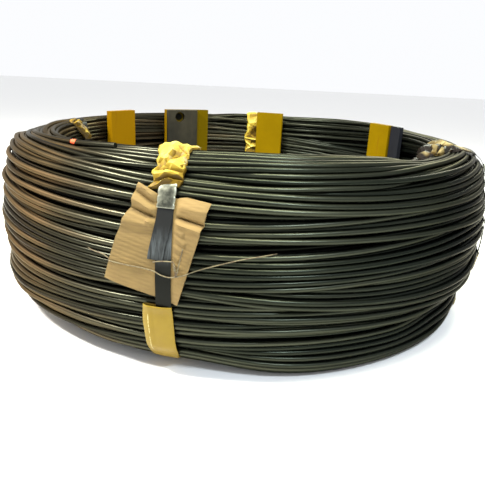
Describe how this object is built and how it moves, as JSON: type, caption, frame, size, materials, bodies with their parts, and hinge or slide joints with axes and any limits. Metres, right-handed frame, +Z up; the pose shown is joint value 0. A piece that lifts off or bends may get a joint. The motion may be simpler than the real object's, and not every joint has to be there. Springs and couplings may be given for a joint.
{
  "type": "coil of wire rod",
  "caption": "Upright coil of dark steel wire rod, strapped through its bore, with plastic sleeves on the straps, a cardboard tag and boards standing in the bore.",
  "frame": {"origin": "on the coil's axis, at the floor it lies on", "axes": "+Z up along the coil's axis; -Y is the front, where the strap with the cardboard tag is; +X is to the right as seen from the front"},
  "size_m": [1.3962, 1.4058, 0.4636],
  "materials": {
    "wire_steel": "oiled dark drawn steel wire, bronze and green-grey reflections",
    "strap_steel": "blued steel strapping, slightly glossy",
    "sleeve_plastic": "thin yellow lay-flat plastic tube, creased",
    "kraft_card": "bare corrugated kraft board, wrinkled",
    "yellow_paint": "worn yellow paint on steel",
    "dark_steel": "bare dark steel, lightly rusted",
    "black_steel": "dull black paint",
    "tie_wire_steel": "thin annealed wire with light rust"
  },
  "bodies": {
    "root": {"wire_coil": "wire_steel", "tie_wire": "tie_wire_steel", "cardboard_tag": "kraft_card", "sleeve_top_right": "sleeve_plastic", "black_bar": "black_steel", "holed_bar": "dark_steel", "strap_front": "strap_steel", "seal_front": "strap_steel", "sleeve_low_front": "sleeve_plastic", "strap_right": "strap_steel", "seal_right": "strap_steel", "sleeve_low_right": "sleeve_plastic", "strap_back": "strap_steel", "seal_back": "strap_steel", "sleeve_low_back": "sleeve_plastic", "strap_left": "strap_steel", "seal_left": "strap_steel", "sleeve_low_left": "sleeve_plastic", "sleeve_top_front": "sleeve_plastic", "sleeve_top_back": "sleeve_plastic", "sleeve_top_left": "sleeve_plastic", "yellow_board_left": "yellow_paint", "yellow_board_wide": "yellow_paint", "yellow_board_back": "yellow_paint", "yellow_board_right": "yellow_paint"}
  },
  "joints": []
}
